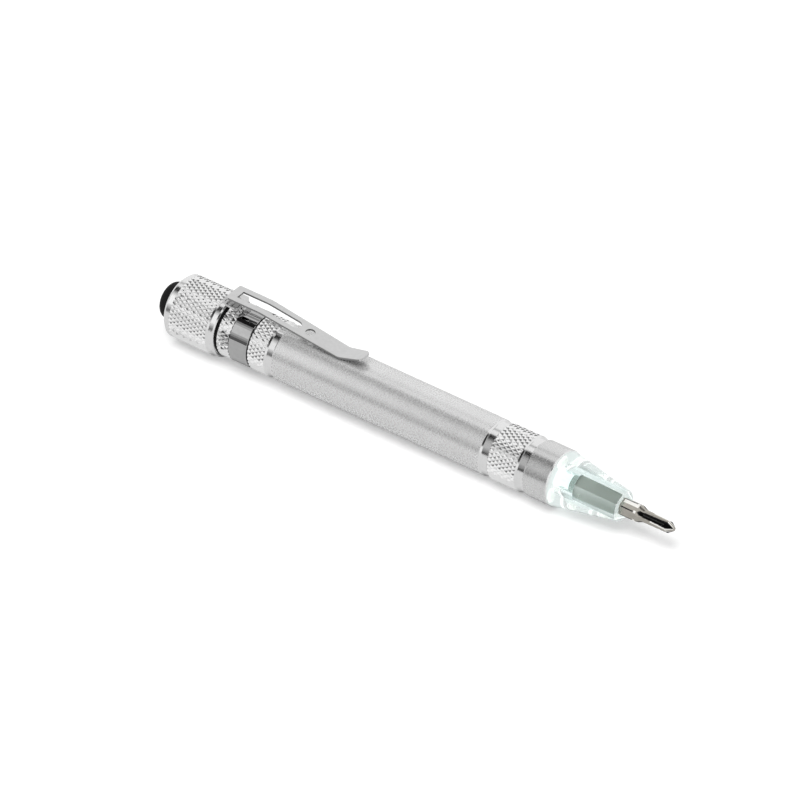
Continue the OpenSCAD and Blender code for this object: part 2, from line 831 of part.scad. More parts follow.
// Magnet that holds the bit in its socket
module bit_magnet() {
    color("Gray") placed() bar(x_magnet_rear, x_cup_front, magnet_r - light_gap);
}

// Cross-head bit: a hex shank tapering to a round blade with four flutes that run out at its neck
bit_chamfer = 0.3;
x_blade = shank_out + neck_len;
flute_angle = atan((blade_r - flute_core) / flute_len);
flute_w = 2 * blade_r;
envelope_r = hex_r + bit_chamfer;
module flute() {
    translate([bit_reach, 0, flute_core]) rotate([0, flute_angle, 0])
        translate([-bit_len / 2, 0, 0]) rotate([45, 0, 0]) cube([bit_len, flute_w, flute_w]);
}
module screwdriver_bit() {
    color("Tan") placed() difference() {
        intersection() {
            hex_bar(x_bit_rear - over, bit_reach + over, hex_r);
            turned([
                [0, x_bit_rear],
                [hex_r - bit_chamfer, x_bit_rear],
                [envelope_r, x_bit_rear + 2 * bit_chamfer],
                [envelope_r, shank_out],
                [blade_r, x_blade],
                [blade_r, bit_reach - point_len],
                [point_r, bit_reach],
                [0, bit_reach]
            ]);
        }
        for (i = [0:3]) rotate([45 + 90 * i, 0, 0]) flute();
    }
}

barrel();
front_cell();
rear_cell();
cap_o_ring();
battery_spring();
tail_cap();
switch_retainer();
switch_plate();
switch_housing();
switch_spring();
switch_plunger();
push_button();
clip_band();
clip_arm();
head_ring();
clear_nose();
led_carrier();
led_board();
leds();
led_leads();
front_contact();
magnet_cup();
bit_magnet();
screwdriver_bit();
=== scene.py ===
import math

import bmesh
import bpy
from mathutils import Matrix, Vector


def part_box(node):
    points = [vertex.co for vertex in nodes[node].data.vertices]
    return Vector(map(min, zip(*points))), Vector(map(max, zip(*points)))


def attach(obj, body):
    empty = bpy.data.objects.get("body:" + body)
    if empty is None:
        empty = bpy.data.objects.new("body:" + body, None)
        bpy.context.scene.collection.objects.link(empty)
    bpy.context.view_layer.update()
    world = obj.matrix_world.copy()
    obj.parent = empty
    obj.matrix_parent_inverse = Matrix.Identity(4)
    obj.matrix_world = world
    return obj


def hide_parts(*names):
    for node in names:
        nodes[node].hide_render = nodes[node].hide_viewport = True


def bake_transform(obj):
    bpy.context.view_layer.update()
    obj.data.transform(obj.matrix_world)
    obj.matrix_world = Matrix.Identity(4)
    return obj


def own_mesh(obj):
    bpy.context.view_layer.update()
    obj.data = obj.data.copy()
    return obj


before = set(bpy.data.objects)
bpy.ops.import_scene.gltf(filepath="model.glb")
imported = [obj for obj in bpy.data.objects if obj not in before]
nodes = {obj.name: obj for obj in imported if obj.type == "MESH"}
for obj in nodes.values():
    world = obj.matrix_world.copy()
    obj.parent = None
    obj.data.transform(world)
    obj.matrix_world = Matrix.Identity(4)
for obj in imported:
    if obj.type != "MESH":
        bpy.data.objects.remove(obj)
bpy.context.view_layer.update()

# Lengths are in millimetres. A station is a place along the pen, nought at the nose's front face and
# negative towards the tail. A radius is taken from the pen's axis, and an angle round it from straight up.
MM = 0.001
TURN = 2 * math.pi
QUARTER = TURN / 4
NOSE_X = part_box("clear_nose")[1][0]
AXIS_Z = (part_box("barrel")[0][2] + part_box("barrel")[1][2]) / 2


def at(station, across, height):
    """A point of the frame from its station, its distance to the side and its height above the axis."""
    return Vector((NOSE_X + station * MM, across * MM, AXIS_Z + height * MM))


def on_circle(station, radius, angle):
    """A point of the frame from its station, its radius and its angle."""
    return at(station, radius * math.sin(angle), radius * math.cos(angle))


def add_object(name, data):
    """Makes an object and puts it in the scene."""
    made = bpy.data.objects.new(name, data)
    bpy.context.scene.collection.objects.link(made)
    return made


# Materials
NOISE_LOW = 0.3
NOISE_HIGH = 0.7
FINE_SHARE = 0.6
PATCH = 6.0
PATCH_DETAIL = 2.0


def bare_material(name):
    """A material with nothing but an output. Returns it, its node tree and the output's surface socket."""
    material = bpy.data.materials.new(name)
    material.use_nodes = True
    tree = material.node_tree
    tree.nodes.clear()
    output = tree.nodes.new("ShaderNodeOutputMaterial")
    return material, tree, output.inputs["Surface"]


def combine(tree, operation, *values):
    """The result of a math node on sockets and plain numbers."""
    node = tree.nodes.new("ShaderNodeMath")
    node.operation = operation
    for socket, value in zip(node.inputs, values):
        if isinstance(value, bpy.types.NodeSocket):
            tree.links.new(value, socket)
        else:
            socket.default_value = value
    return node.outputs["Value"]


def grain_field(tree, size, stretch=(1, 1, 1), detail=3.0):
    """Noise whose grains are about size millimetres across, drawn out along an axis by stretch."""
    place = tree.nodes.new("ShaderNodeTexCoord")
    scale = tree.nodes.new("ShaderNodeMapping")
    scale.inputs["Scale"].default_value = [1 / (MM * size * s) for s in stretch]
    noise = tree.nodes.new("ShaderNodeTexNoise")
    noise.inputs["Scale"].default_value = 1.0
    noise.inputs["Detail"].default_value = detail
    tree.links.new(place.outputs["Object"], scale.inputs["Vector"])
    tree.links.new(scale.outputs["Vector"], noise.inputs["Vector"])
    return noise.outputs["Fac"]


def ramp(tree, value, dark, light):
    """Turns noise into a colour between two colours."""
    node = tree.nodes.new("ShaderNodeValToRGB")
    low, high = node.color_ramp.elements
    low.position = NOISE_LOW
    high.position = NOISE_HIGH
    low.color = (*dark, 1)
    high.color = (*light, 1)
    tree.links.new(value, node.inputs["Fac"])
    return node.outputs["Color"]


def span(tree, value, low, high, start=NOISE_LOW, end=NOISE_HIGH):
    """Turns a value between start and end into a number between low and high."""
    node = tree.nodes.new("ShaderNodeMapRange")
    node.inputs["From Min"].default_value = start
    node.inputs["From Max"].default_value = end
    node.inputs["To Min"].default_value = low
    node.inputs["To Max"].default_value = high
    tree.links.new(value, node.inputs["Value"])
    return node.outputs["Result"]


def surface(name, dark, light, rough, metallic=0.0, grain=0.3, stretch=(1, 1, 1), bump=0.1, height=0.02,
            constants=None):
    """A finish whose colour drifts in large patches, and whose roughness and relief follow a fine grain."""
    material, tree, surface_socket = bare_material(name)
    shader = tree.nodes.new("ShaderNodeBsdfPrincipled")
    tree.links.new(shader.outputs["BSDF"], surface_socket)
    shader.inputs["Metallic"].default_value = metallic
    for socket, value in (constants or {}).items():
        shader.inputs[socket].default_value = value
    fine = grain_field(tree, grain, stretch)
    drift = grain_field(tree, PATCH, detail=PATCH_DETAIL)
    drift_part = combine(tree, "MULTIPLY", drift, 1 - FINE_SHARE)
    mixed = combine(tree, "MULTIPLY_ADD", fine, FINE_SHARE, drift_part)
    tree.links.new(ramp(tree, mixed, dark, light), shader.inputs["Base Color"])
    tree.links.new(span(tree, fine, *rough), shader.inputs["Roughness"])
    relief = tree.nodes.new("ShaderNodeBump")
    relief.inputs["Strength"].default_value = bump
    relief.inputs["Distance"].default_value = height * MM
    tree.links.new(fine, relief.inputs["Height"])
    tree.links.new(relief.outputs["Normal"], shader.inputs["Normal"])
    return material


def grey(value):
    return (value, value, value)


def glowing(colour, strength):
    """The constants of a finish that gives light."""
    return {"Emission Color": (*colour, 1), "Emission Strength": strength}


TURNING_LINES = (0.12, 6, 6)
satin = surface("satin_aluminium", grey(0.65), grey(0.74), (0.24, 0.32), 0.6,
                grain=0.45, bump=0.8, height=0.045)
fine_satin = surface("fine_satin_aluminium", grey(0.62), grey(0.72), (0.22, 0.32), 0.85,
                     grain=0.45, bump=0.2, height=0.016)
polished = surface("polished_aluminium", grey(0.74), grey(0.82), (0.13, 0.19), 1.0,
                   grain=0.5, stretch=TURNING_LINES, bump=0.05, height=0.006)
knurled = surface("knurled_aluminium", grey(0.80), grey(0.90), (0.07, 0.12), 1.0,
                  grain=0.2, bump=0.08, height=0.01)
chrome = surface("chrome", grey(0.57), grey(0.63), (0.05, 0.09), 1.0, grain=0.8, bump=0.02, height=0.004)
# Painted shade: the band is the clip's chrome made darker
band_painted_shade_chrome = surface("band_painted_shade_chrome", grey(0.43), grey(0.48), (0.03, 0.06), 1.0,
                      grain=0.8, bump=0.02, height=0.004)
# Painted shade: a dark grey steel for the barrel's clip seat; the bit's flute bottoms take it too
painted_shade_and_flute_grey = surface("painted_shade_and_flute_steel", grey(0.13), grey(0.22), (0.35, 0.5), 1.0, grain=0.15, stretch=(1, 1, 3))
# Painted shade for the edge walls of the clip sheet
painted_edge_shade = surface("painted_edge_shade", grey(0.22), grey(0.31), (0.35, 0.5), 0.9, grain=0.15, stretch=(3, 1, 1))
rubber = surface("black_rubber", grey(0.006), grey(0.012), (0.5, 0.66), grain=0.12, bump=0.25,
                 constants={"Specular IOR Level": 0.12})

ALONG = (4, 1, 1)
steel = surface("bit_steel", (0.38, 0.36, 0.32), (0.46, 0.44, 0.40), (0.13, 0.20), 1.0,
                grain=0.35, stretch=ALONG, bump=0.05, height=0.008)
# Painted highlight: a pale, half-diffuse steel for the bright patches on the bit
painted_highlight_steel = surface("painted_highlight_steel", (0.88, 0.86, 0.82), (0.95, 0.94, 0.91), (0.3, 0.4), 0.3)
flute_steel = surface("flute_steel", grey(0.025), grey(0.06), (0.25, 0.4), 1.0,
                      grain=0.25, stretch=ALONG, bump=0.05)
nickel = surface("nickel", (0.42, 0.45, 0.42), (0.52, 0.55, 0.52), (0.2, 0.3), 1.0, grain=0.4)
brass = surface("brass", (0.62, 0.43, 0.16), (0.74, 0.55, 0.25), (0.2, 0.32), 1.0)
spring_steel = surface("spring_steel", grey(0.50), grey(0.62), (0.2, 0.3), 1.0, grain=0.2)

WHITE_TINTS = (grey(0.80), grey(0.86))
LED_WHITE = (1.0, 0.98, 0.98)
BASE_WHITE = (1.0, 1.0, 0.99)
white_plastic = surface("white_plastic", *WHITE_TINTS, (0.4, 0.5), grain=0.4, bump=0.05)
# Painted glow: the LED carrier and the back of the nose give white light of their own, though they are no
# lamps
painted_glow_plastic = surface("painted_glow_plastic", *WHITE_TINTS, (0.4, 0.5), grain=0.4, bump=0.05,
                      constants=glowing(LED_WHITE, 0.72))
painted_glow_base = surface("painted_glow_base", grey(0.84), grey(0.90), (0.5, 0.6), grain=0.4, bump=0.05,
                   constants=glowing(BASE_WHITE, 0.44))
led_lens = surface("led_lens", (0.86, 0.87, 0.80), (0.92, 0.92, 0.86), (0.12, 0.2), grain=0.5, bump=0.03,
                   constants=glowing(LED_WHITE, 0.55))
black_plastic = surface("black_plastic", grey(0.02), grey(0.035), (0.38, 0.5), grain=0.2)
cell_jacket = surface("cell_jacket", (0.05, 0.06, 0.07), (0.09, 0.1, 0.12), (0.25, 0.35),
                      grain=0.6, bump=0.05)
board = surface("board", (0.02, 0.10, 0.05), (0.03, 0.15, 0.08), (0.35, 0.5))

CLEAR_TINTS = ((0.77, 0.88, 0.865), (0.80, 0.90, 0.89))
CLEAR_GLASS = {"Transmission Weight": 1.0, "IOR": 1.49}
clear = surface("clear_plastic", *CLEAR_TINTS, (0.05, 0.09), grain=2.5, bump=0.015, constants=CLEAR_GLASS)
frosted = surface("frosted_bore", *CLEAR_TINTS, (0.26, 0.32), grain=2.5, bump=0.015, constants=CLEAR_GLASS)

NODE_FINISH = {
    "front_cell": cell_jacket,
    "rear_cell": cell_jacket,
    "cap_o_ring": rubber,
    "battery_spring": spring_steel,
    "switch_retainer": brass,
    "switch_plate": brass,
    "switch_housing": black_plastic,
    "switch_plunger": white_plastic,
    "led_carrier": painted_glow_plastic,
    "led_board": board,
    "leds": led_lens,
    "led_leads": nickel,
    "front_contact": brass,
    "magnet_cup": nickel,
    "bit_magnet": nickel,
}
for node_name, finish in NODE_FINISH.items():
    nodes[node_name].data.materials.clear()
    nodes[node_name].data.materials.append(finish)

# Turned pieces
SATIN, POLISHED, KNURLED, PAINTED_SHADE = 0, 1, 2, 3
METALS = (satin, polished, knurled, painted_shade_and_flute_grey)
HEAD_METALS = (fine_satin, polished)
EDGE_BREAK = 0.025
BREAK_SHARE = 0.4
KNURL_STEPS = 6
HALF_DIAMOND = KNURL_STEPS // 2
KNURL_RISES = (1, 1, 0.5, 0, 0.5, 1)
KNURL_TOP = 1 / 4
LEAD_DROP = 0.01


def add_ring(bm, station, radius, count):
    """A closed ring of points, or one point on the axis. A radius may be a function of the angle."""
    if radius == 0:
        return [bm.verts.new(at(station, 0, 0))]
    points = []
    for i in range(count):
        angle = TURN * i / count
        r = radius(angle) if callable(radius) else radius
        points.append(bm.verts.new(on_circle(station, r, angle)))
    return points


def skin(bm, ring, other, slot):
    """Faces between two rings, either of which may be a single point."""
    count = max(len(ring), len(other))
    for i in range(count):
        j = (i + 1) % count
        if len(ring) == 1:
            face = bm.faces.new((ring[0], other[j], other[i]))
        elif len(other) == 1:
            face = bm.faces.new((ring[i], ring[j], other[0]))
        else:
            face = bm.faces.new((ring[i], ring[j], other[j], other[i]))
        face.material_index = slot
        face.smooth = True


def add_rings(bm, steps, count, last=None):
    """Rings at the (station, radius, slot) steps of an outline, each skinned to the one before it."""
    rings = []
    for station, radius, slot in steps:
        ring = add_ring(bm, station, radius, count)
        if last:
            skin(bm, last, ring, slot)
        rings.append(ring)
        last = ring
    return rings


def knurl_edge(bm, station, radius, depth, around, odd):
    """The saw-tooth ring where a knurl is cut across, with six points to each diamond."""
    count = around * KNURL_STEPS
    points = []
    for i in range(count):
        rise = KNURL_RISES[(i - HALF_DIAMOND * odd) % KNURL_STEPS]
        points.append(bm.verts.new(on_circle(station, radius - depth * (1 - rise), TURN * i / count)))
    return points


def add_knurl(bm, last, around, front, rear, radius, depth, rows, lead):
    """Diamonds with small flat tops between two stations, with a skin of slot lead to the ring before.

    Returns the cut ring at the rear.
    """
    count = around * KNURL_STEPS
    step = (rear - front) / rows
    pitch = TURN / around
    edges = {
        0: knurl_edge(bm, front, radius, depth, around, 0),
        rows: knurl_edge(bm, rear, radius, depth, around, rows % 2),
    }

    def vert(station, angle, r):
        return bm.verts.new(on_circle(station, r, angle))

    def face(*points):
        made = bm.faces.new(points)
        made.material_index = KNURLED
        made.smooth = False

    valleys = []
    for row in range(rows + 1):
        odd = row % 2
        if row in edges:
            first = HALF_DIAMOND * (1 + odd)
            valleys.append([edges[row][(first + KNURL_STEPS * j) % count] for j in range(around)])
        else:
            angles = [pitch * (j + 0.5 + 0.5 * odd) for j in range(around)]
            valleys.append([vert(front + row * step, angle, radius - depth) for angle in angles])

    def valley(row, half_turns):
        """The valley point of a row at an angle given in half pitches."""
        j = (half_turns - 1 - row % 2) // 2
        return valleys[row][j % around]

    for row in range(rows + 1):
        middle = front + row * step
        for j in range(around):
            half = 2 * j + row % 2
            angle = pitch * half / 2
            if row > 0:
                near = valley(row - 1, half)
                near_top = vert(middle - KNURL_TOP * step, angle, radius)
            if row < rows:
                far = valley(row + 1, half)
                far_top = vert(middle + KNURL_TOP * step, angle, radius)
            if row in edges:
                start = HALF_DIAMOND * (half - 1)
                cut = [edges[row][(start + k) % count] for k in range(KNURL_STEPS + 1)]
            if row == 0:
                face(cut[2], cut[3], cut[4], far_top)
                face(cut[4], cut[5], cut[6], far, far_top)
                face(cut[0], cut[1], cut[2], far_top, far)
            elif row == rows:
                face(cut[4], cut[3], cut[2], near_top)
                face(cut[6], cut[5], cut[4], near_top, near)
                face(cut[2], cut[1], cut[0], near, near_top)
            else:
                up = valley(row, half + 1)
                down = valley(row, half - 1)
                up_top = vert(middle, angle + KNURL_TOP * pitch / 2, radius)
                down_top = vert(middle, angle - KNURL_TOP * pitch / 2, radius)
                face(near_top, up_top, far_top, down_top)
                face(near, up, up_top, near_top)
                face(up, far, far_top, up_top)
                face(far, down, down_top, far_top)
                face(down, near, near_top, down_top)
    skin(bm, last, edges[0], lead)
    return edges[rows]


def soften(outline):
    """Breaks each inner corner of an outline with a small flat."""
    softened = [outline[0]]
    for before, corner, after in zip(outline, outline[1:], outline[2:]):
        here = Vector(corner[:2])
        ways = [Vector(before[:2]) - here, Vector(after[:2]) - here]
        reach = min(EDGE_BREAK, *(BREAK_SHARE * way.length for way in ways))
        for way in ways:
            end = here + way.normalized() * reach
            softened.append((end.x, end.y, corner[2]))
    softened.append(outline[-1])
    return softened


def finish_mesh(name, bm, materials, sharp_angle=15.0):
    """Makes an object of a mesh, smooth but for its sharp edges."""
    bmesh.ops.recalc_face_normals(bm, faces=bm.faces)
    mesh = bpy.data.meshes.new(name)
    bm.to_mesh(mesh)
    bm.free()
    for material in materials:
        mesh.materials.append(material)
    mesh.set_sharp_from_angle(angle=math.radians(sharp_angle))
    return add_object(name, mesh)


def turned(name, parts, count, materials):
    """A turned piece of outlines and knurls, from the nose's end back along the outside and home inside."""
    bm = bmesh.new()
    first = None
    last = None
    for part in parts:
        if isinstance(part, dict):
            last = add_knurl(bm, last, count // KNURL_STEPS, **part)
            continue
        rings = add_rings(bm, part, count, last)
        first = first or rings[0]
        last = rings[-1]
    skin(bm, last, first, SATIN)
    return finish_mesh(name, bm, materials)


# Barrel
BARREL_R = 7.0
GROOVE_R = 6.7
COUNTERBORE_R = 6.1
BORE_R = 5.5
CLIP_SEAT_R = 6.4
RING_SEAT_R = 5.85
HEAD_REAR = -23.8
HEAD_GAP = 0.02
COUNTERBORE_REAR = -28.85
SHOULDER_REAR = -112.7
THREAD_FRONT = -113.9
SPIGOT_REAR = -117.9
THREAD_LENGTH = SPIGOT_REAR - THREAD_FRONT
SPIGOT_R = 6.3
THREAD_PITCH = 0.75
THREAD_DEPTH = 0.3
THREAD_ROWS = 42
ROOT_R = SPIGOT_R - THREAD_DEPTH
FLANK_SLOPE = 1.5
FLANK_START = 0.25
KNURL_DEPTH = 0.26
DIAMONDS_BARREL = 39


def barrel_knurl(front, rear, rows):
    return dict(front=front, rear=rear, radius=BARREL_R, depth=KNURL_DEPTH, rows=rows, lead=POLISHED)


def thread_radius(station):
    """Radius of the tail thread round the axis at a station, which runs out at both ends."""
    ends = min(1, (THREAD_FRONT - station) / THREAD_PITCH, (station - SPIGOT_REAR) / THREAD_PITCH)

    def radius(angle):
        phase = ((station / THREAD_PITCH + angle / TURN) % 1.0) * 2
        rise = 1 - abs(phase - 1)
        crest = min(1, max(0, FLANK_SLOPE * rise - FLANK_START))
        return ROOT_R + THREAD_DEPTH * crest * ends

    return radius


front_groove = [
    (HEAD_REAR - HEAD_GAP, COUNTERBORE_R, POLISHED),
    (HEAD_REAR - HEAD_GAP, GROOVE_R, POLISHED),
    (-25.6, GROOVE_R, POLISHED),
    (-26.05, BARREL_R - LEAD_DROP, POLISHED),
]
satin_tube = [
    (-34.0, GROOVE_R, POLISHED),
    (-35.85, GROOVE_R, POLISHED),
    (-36.3, BARREL_R, POLISHED),
    (-96.2, BARREL_R, SATIN),
    (-96.5, GROOVE_R, POLISHED),
    (-98.1, GROOVE_R, POLISHED),
    (-98.55, BARREL_R - LEAD_DROP, POLISHED),
]
# The clip seat under the band is painted dark as shade, so the gap in front of the band reads dark
clip_seat = [
    (-103.35, CLIP_SEAT_R, PAINTED_SHADE),
    (-109.05, CLIP_SEAT_R, PAINTED_SHADE),
]
shoulder = [
    (SHOULDER_REAR, GROOVE_R, POLISHED),
    (SHOULDER_REAR, RING_SEAT_R, POLISHED),
    (THREAD_FRONT, RING_SEAT_R, POLISHED),
    (THREAD_FRONT, ROOT_R, POLISHED),
]
thread_rows = [THREAD_FRONT + THREAD_LENGTH * i / THREAD_ROWS for i in range(1, THREAD_ROWS)]
thread = [(station, thread_radius(station), POLISHED) for station in thread_rows]
bore = [
    (SPIGOT_REAR, ROOT_R, POLISHED),
    (SPIGOT_REAR, BORE_R, POLISHED),
    (COUNTERBORE_REAR, BORE_R, SATIN),
    (COUNTERBORE_REAR, COUNTERBORE_R, SATIN),
]
barrel_parts = [
    soften(front_groove),
    barrel_knurl(-26.07, -33.7, 8),
    soften(satin_tube),
    barrel_knurl(-98.57, -103.3, 5),
    soften(clip_seat),
    barrel_knurl(-109.1, -112.4, 3),
    soften(shoulder),
    thread,
    bore,
]
barrel_shell = turned("barrel_shell", barrel_parts, DIAMONDS_BARREL * KNURL_STEPS, METALS)
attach(barrel_shell, "barrel")
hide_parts("barrel")

# Tail cap
CAP_R = 7.995
CAP_FRONT_R = 7.7
CAP_REAR_R = 7.9
CAP_BORE_R = 6.4
CAP_MOUTH_R = 6.95
BUTTON_HOLE_R = 4.8
CAP_KNURL_FRONT = -115.07
DIAMONDS_CAP = 45
cap_front = [
    (-113.1, CAP_MOUTH_R, POLISHED),
    (-113.1, 7.4, POLISHED),
    (-113.4, CAP_FRONT_R, POLISHED),
    (-114.6, CAP_FRONT_R, POLISHED),
    (-115.05, CAP_R - LEAD_DROP, POLISHED),
]
cap_knurl = dict(front=CAP_KNURL_FRONT, rear=-125.95, radius=CAP_R, depth=0.3, rows=11, lead=KNURLED)
cap_rear = [
    (-125.97, CAP_REAR_R, POLISHED),
    (-127.2, CAP_REAR_R, POLISHED),
    (-128.0, 7.1, POLISHED),
    (-128.0, BUTTON_HOLE_R, SATIN),
    (-126.7, BUTTON_HOLE_R, SATIN),
    (-126.7, CAP_BORE_R, SATIN),
    (-114.0, CAP_BORE_R, SATIN),
    (-114.0, CAP_MOUTH_R, SATIN),
]
cap_parts = [soften(cap_front), cap_knurl, soften(cap_rear)]
cap_shell = turned("cap_shell", cap_parts, DIAMONDS_CAP * KNURL_STEPS, METALS)
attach(cap_shell, "tail_cap")
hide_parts("tail_cap")

# Head ring
HEAD_SIDES = 192
HEAD_LAND = -17.3
head_outline = [
    (-17.1, 6.15, POLISHED),
    (-17.1, 6.8, POLISHED),
    (HEAD_LAND, BARREL_R, POLISHED),
    (-23.5, BARREL_R, SATIN),
    (HEAD_REAR, GROOVE_R, POLISHED),
    (HEAD_REAR, 6.05, POLISHED),
    (-28.8, 6.05, SATIN),
    (-28.8, BORE_R, SATIN),
    (-23.1, BORE_R, SATIN),
    (-23.1, 4.95, SATIN),
    (-22.2, 4.95, SATIN),
    (-22.2, 6.15, SATIN),
]
head_shell = turned("head_shell", [soften(head_outline)], HEAD_SIDES, HEAD_METALS)
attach(head_shell, "barrel")
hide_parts("head_ring")

# Push button
BUTTON_R = 4.7
BUTTON_REAR = -132.5
BUTTON_EDGE = 1.8
BUTTON_CROWN = 0.35
BUTTON_SIDES = 96
ROUND_STEPS = 12


def button_outline():
    """The button from its flange inside the cap out to the middle of its crowned end."""
    outline = [(-125.7, 0), (-125.7, 5.6), (-125.75, 5.7), (-126.65, 5.7), (-126.7, 5.6)]
    outline.append((-126.7, BUTTON_R))
    crown_r = BUTTON_R - BUTTON_EDGE
    middle = BUTTON_REAR + BUTTON_CROWN + BUTTON_EDGE
    for i in range(ROUND_STEPS + 1):
        angle = QUARTER * i / ROUND_STEPS
        outline.append((middle - BUTTON_EDGE * math.sin(angle), crown_r + BUTTON_EDGE * math.cos(angle)))
    for i in range(1, ROUND_STEPS + 1):
        share = 1 - i / ROUND_STEPS
        outline.append((BUTTON_REAR + BUTTON_CROWN * share ** 2, crown_r * share))
    return [(station, radius, 0) for station, radius in outline]


def make_button():
    bm = bmesh.new()
    add_rings(bm, button_outline(), BUTTON_SIDES)
    return finish_mesh("button_cover", bm, [rubber])


button_cover = make_button()
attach(button_cover, "button")
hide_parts("push_button")

# Clear nose
CLEAR, PAINTED_GLOW, FROSTED = 0, 1, 2
HEX_CORNER = math.radians(8)
SIXTH = TURN / 6
NOSE_SIDES = 144
SOCKET_HALF = 2.07
MOUTH_HALF = 2.2
MOUTH_DEPTH = 0.13
CUP_R = 2.45
SOCKET_REAR = -12.1
FRONT_FLAT_R = 3.45
FRONT_ROUND = 0.35
FRONT_STEPS = 5


def hex_radius(half_flats):
    """Radius of a hexagon round the axis."""

    def radius(angle):
        from_corner = (angle - HEX_CORNER) % SIXTH
        return half_flats / math.cos(from_corner - SIXTH / 2)

    return radius


def make_nose():
    """The solid clear cone on an opaque white base with a painted glow, with a frosted wall in its socket.
    """
    socket = hex_radius(SOCKET_HALF)
    steps = [(-MOUTH_DEPTH, socket, CLEAR), (0, hex_radius(MOUTH_HALF), CLEAR)]
    for i in range(FRONT_STEPS + 1):
        angle = QUARTER * (1 - i / FRONT_STEPS)
        station = -FRONT_ROUND + FRONT_ROUND * math.sin(angle)
        steps.append((station, FRONT_FLAT_R + FRONT_ROUND * math.cos(angle), CLEAR))
    steps += [
        (-17.05, 6.84, CLEAR),
        # The back face and chamber walls of the nose are opaque white with a painted glow
        (-17.1, 6.79, PAINTED_GLOW),
        (-17.1, 6.1, PAINTED_GLOW),
        (-21.1, 6.1, PAINTED_GLOW),
        (-21.1, 5.6, PAINTED_GLOW),
        (-17.55, 5.6, PAINTED_GLOW),
        (-17.55, CUP_R, PAINTED_GLOW),
        (SOCKET_REAR, CUP_R, CLEAR),
        (SOCKET_REAR, socket, CLEAR),
    ]
    bm = bmesh.new()
    rings = add_rings(bm, steps, NOSE_SIDES)
    skin(bm, rings[-1], rings[0], FROSTED)
    return finish_mesh("nose_cone", bm, [clear, painted_glow_base, frosted], sharp_angle=30.0)


nose_cone = make_nose()
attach(nose_cone, "barrel")
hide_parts("clear_nose")

# Bit: a hex shank that tapers to a blade with four dark flutes, with painted highlights beside the flutes
# towards the tip and on the shank's facets and corners
STEEL, FLUTE, PAINTED_HIGHLIGHT, DEEP = 0, 1, 2, 3
BIT_SIDES = 240
BIT_STEP = 0.15
HEX_HALF = 2.0
HEX_ROUND = 2.26
SHANK_END = 3.2
SHANK_ROWS = 4
POINT_START = 12.5
BIT_OUTLINE = [(-12.1, 2.0), (-11.5, 2.6), (SHANK_END, 2.6), (5.8, 1.58), (POINT_START, 1.58), (14.1, 0.45)]
FLUTE_BOTTOM = [(4.4, 2.3), (5.2, 1.15), (6.2, 0.86), (11.0, 0.70), (14.1, 0.45)]
FLUTE_TURN = math.radians(45)
FLUTE_REACH = FLUTE_TURN - 0.02
DEEP_HALF = math.radians(9)
DEEP_SPAN = (5.8, 11.5)
# Where the painted highlights lie: strips beside the flutes towards the tip, and on the shank a band across
# every other facet and a spot at each corner
RIM = math.radians(12)
RIM_START = 8.2
CORNER_LINE = math.radians(3.8)
CORNER_SPOT = math.radians(8)
HIGHLIGHT_BAND = (math.radians(34), math.radians(56))
HIGHLIGHT_START = 0.3
SPOT_START = 3.7
SPOT_END = 4.3


def follow(points, station):
    """The value of a line of (station, value) points at a station."""
    for (x0, y0), (x1, y1) in zip(points, points[1:]):
        if x0 <= station <= x1:
            return y0 + (y1 - y0) * (station - x0) / (x1 - x0)
    return points[0][1] if station < points[0][0] else points[-1][1]


def blank_radius(station, angle):
    """Radius of the bit before its flutes are cut."""
    return min(hex_radius(HEX_HALF)(angle), HEX_ROUND, follow(BIT_OUTLINE, station))


def off_flute(angle):
    """The angle to the middle of the nearest flute."""
    return abs((angle - FLUTE_TURN + QUARTER / 2) % QUARTER - QUARTER / 2)


def flute_radius(station, angle):
    """Radius of the nearest flute's wall, which leans at 45 degrees, or a large one where none reaches."""
    off = off_flute(angle)
    if station < FLUTE_BOTTOM[0][0] or off > FLUTE_REACH:
        return 2 * HEX_ROUND
    return follow(FLUTE_BOTTOM, station) / (math.cos(off) - math.sin(off))


def in_flute(station, angle):
    return flute_radius(station, angle) < blank_radius(station, angle)


def bit_radius(station):
    """Radius of the finished bit round the axis at a station."""

    def radius(angle):
        return min(blank_radius(station, angle), flute_radius(station, angle))

    return radius


def bit_slot(station, angle):
    """The finish of the bit at a station and an angle."""
    if in_flute(station, angle):
        is_deep = DEEP_SPAN[0] < station < DEEP_SPAN[1] and off_flute(angle) < DEEP_HALF
        return DEEP if is_deep else FLUTE
    # Painted highlights along one edge of each flute from the middle of the blade, and along the other edge
    # on the point
    if station > RIM_START and in_flute(station, angle + RIM):
        return PAINTED_HIGHLIGHT
    if station > POINT_START and in_flute(station, angle - RIM):
        return PAINTED_HIGHLIGHT
    if HIGHLIGHT_START < station < SPOT_END:
        facet = (angle - HEX_CORNER) // SIXTH
        share = (angle - HEX_CORNER) % SIXTH
        from_corner = min(share, SIXTH - share)
        # A painted highlight spot at each hex corner where the shank ends
        if from_corner < CORNER_SPOT and station > SPOT_START:
            return PAINTED_HIGHLIGHT
        if from_corner < CORNER_LINE:
            return FLUTE
        # A painted highlight band across every other shank facet
        if facet % 2 == 1 and HIGHLIGHT_BAND[0] < share < HIGHLIGHT_BAND[1]:
            return PAINTED_HIGHLIGHT
    return STEEL


